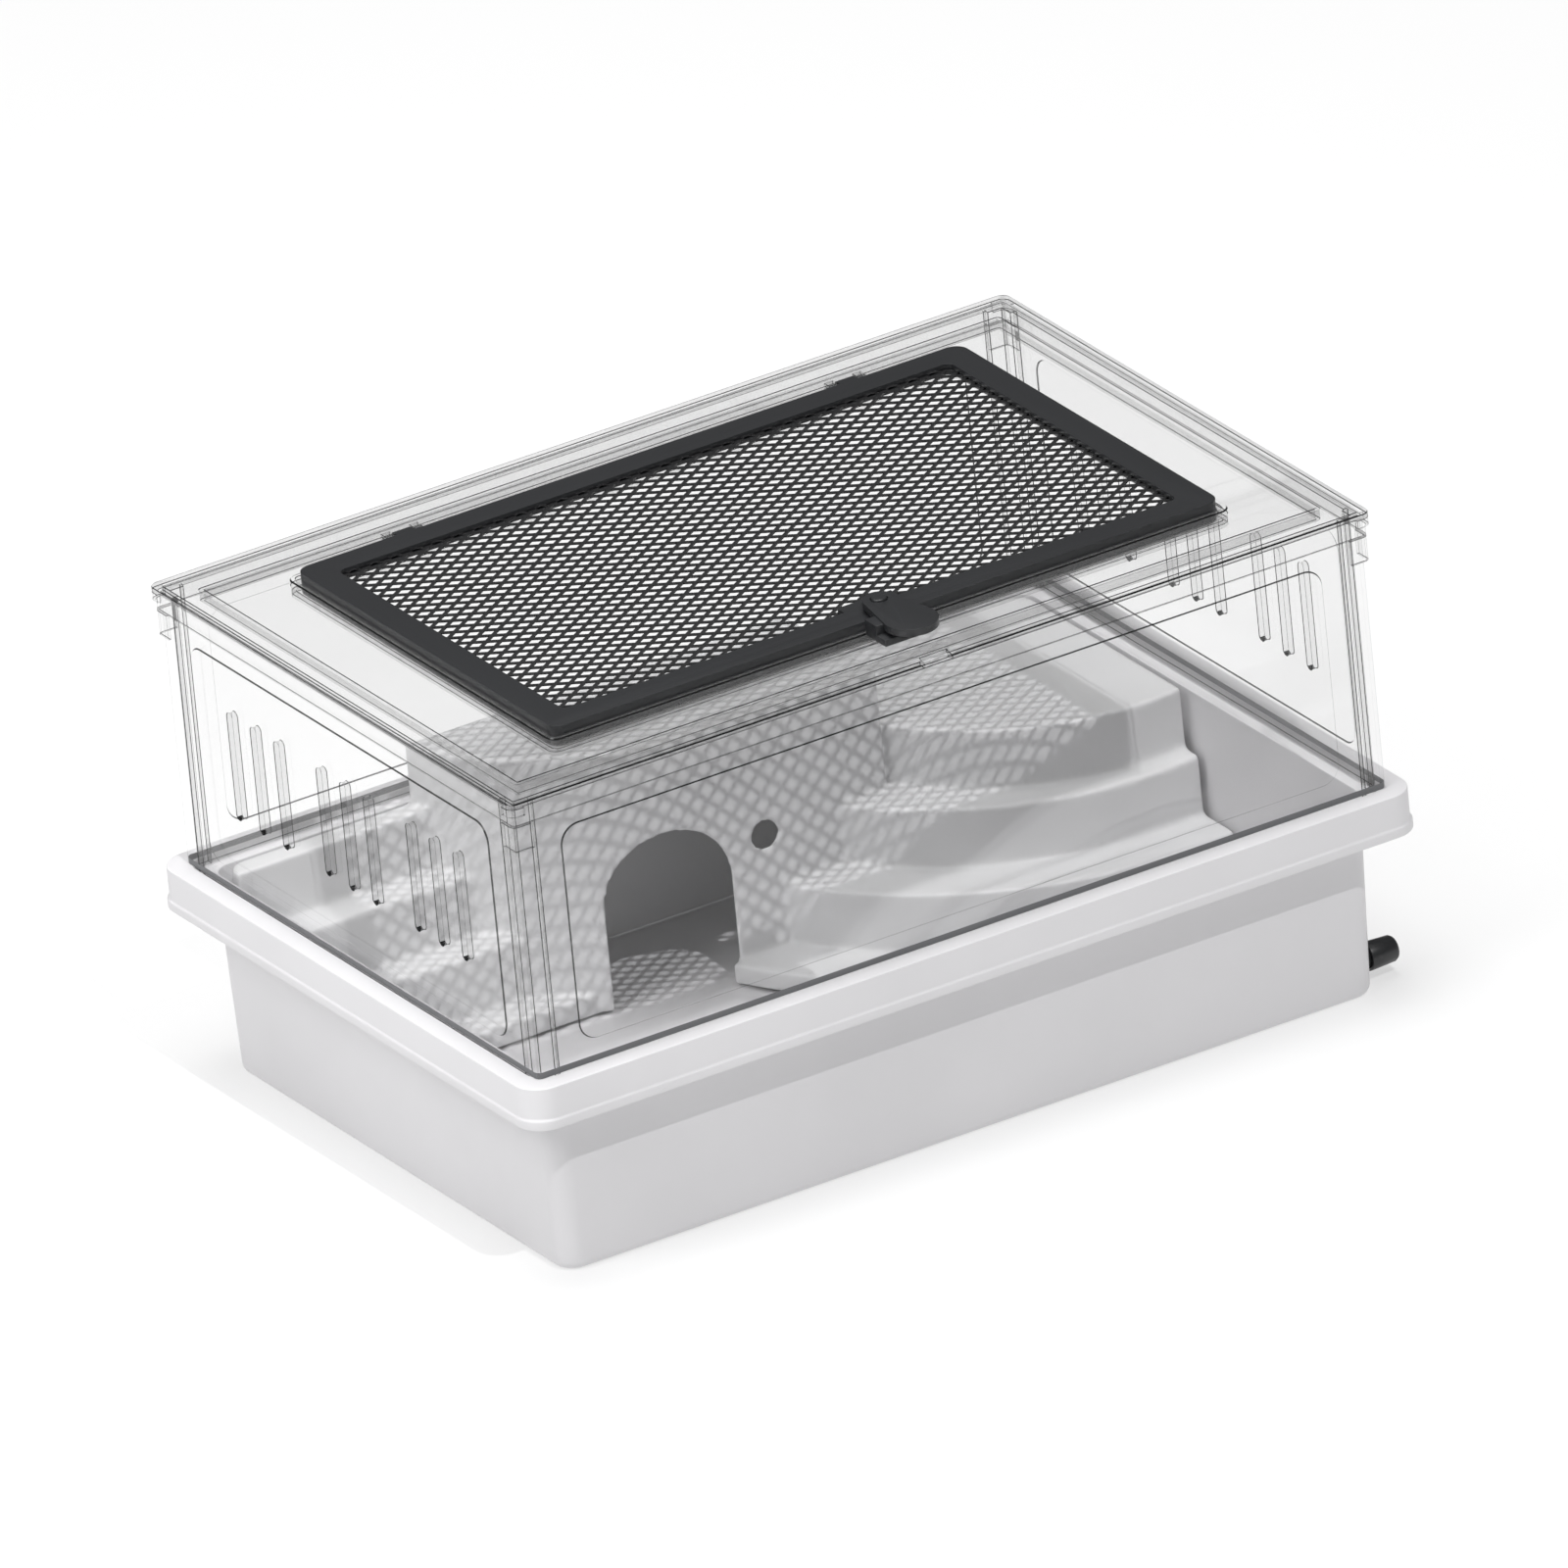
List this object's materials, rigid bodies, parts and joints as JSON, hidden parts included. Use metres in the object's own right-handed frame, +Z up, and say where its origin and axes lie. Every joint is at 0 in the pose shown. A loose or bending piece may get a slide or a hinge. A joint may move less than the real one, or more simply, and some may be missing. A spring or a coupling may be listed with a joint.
{
  "type": "hamster cage",
  "caption": "Clear-walled hamster cage: white tub, clear vented enclosure and lid, hinged black mesh door with turning latch, moulded hide with stairs, capped drain.",
  "frame": {"origin": "on the table under the middle of the tub", "axes": "+X along the length to the right, -Y out of the front face where the latch is, +Z up"},
  "size_m": [0.6, 0.416, 0.3236],
  "materials": {
    "white_polypropylene": "white moulded polypropylene, satin",
    "light_grey_polypropylene": "light grey moulded polypropylene, fine grain",
    "clear_polystyrene": "clear glossy polystyrene",
    "black_abs": "black moulded ABS, satin",
    "black_coated_mesh": "black powder-coated expanded metal",
    "black_rubber": "black rubber",
    "steel": "plain steel wire"
  },
  "bodies": {
    "base": {"base_floor": "white_polypropylene", "base_front_side": "white_polypropylene", "base_right_side": "white_polypropylene", "base_back_side": "white_polypropylene", "base_left_side": "white_polypropylene", "base_drain_panel": "white_polypropylene", "base_rim": "white_polypropylene", "drain_outlet": "black_abs", "drain_seal": "black_rubber", "drain_nut": "black_abs"},
    "insert": {"habitat_hide": "light_grey_polypropylene", "habitat_left_stairs": "light_grey_polypropylene", "habitat_right_stairs": "light_grey_polypropylene"},
    "drain_plug": {"drain_cap": "black_abs"},
    "enclosure": {"front_wall": "clear_polystyrene", "right_wall": "clear_polystyrene", "back_wall": "clear_polystyrene", "left_wall": "clear_polystyrene", "corner_post_front_left": "clear_polystyrene", "corner_post_front_right": "clear_polystyrene", "corner_post_back_right": "clear_polystyrene", "corner_post_back_left": "clear_polystyrene"},
    "lid": {"lid_panel": "clear_polystyrene", "lid_skirt": "clear_polystyrene", "door_seat": "clear_polystyrene", "hinge_lug_left_a": "clear_polystyrene", "hinge_lug_left_b": "clear_polystyrene", "hinge_lug_right_a": "clear_polystyrene", "hinge_lug_right_b": "clear_polystyrene", "hinge_pin_left": "steel", "hinge_pin_right": "steel", "corner_clip_front_left": "clear_polystyrene", "corner_clip_front_right": "clear_polystyrene", "corner_clip_back_right": "clear_polystyrene", "corner_clip_back_left": "clear_polystyrene"},
    "door": {"door_frame": "black_abs", "door_mesh": "black_coated_mesh", "mesh_retainer": "black_abs", "latch_screw": "black_abs"},
    "latch": {"latch_lever": "black_abs"}
  },
  "joints": [
    {"name": "door_hinge", "type": "hinge", "parent": "lid", "child": "door", "pos_m": [0, 0.147, 0.3136], "axis": [-1, 0, 0], "range_deg": [0, 100]},
    {"name": "latch_turn", "type": "hinge", "parent": "door", "child": "latch", "pos_m": [0, -0.134, 0.318], "axis": [0, 0, 1], "range_deg": [0, 45]},
    {"name": "lid_lift", "type": "slide", "parent": "enclosure", "child": "lid", "axis": [0, 0, 1], "range_m": [0, 0.12]},
    {"name": "enclosure_lift", "type": "slide", "parent": "base", "child": "enclosure", "axis": [0, 0, 1], "range_m": [0, 0.12]},
    {"name": "insert_lift", "type": "slide", "parent": "base", "child": "insert", "axis": [0, 0, 1], "range_m": [0, 0.1]},
    {"name": "drain_cap_pull", "type": "slide", "parent": "base", "child": "drain_plug", "axis": [1, 0, 0], "range_m": [0, 0.03]}
  ]
}
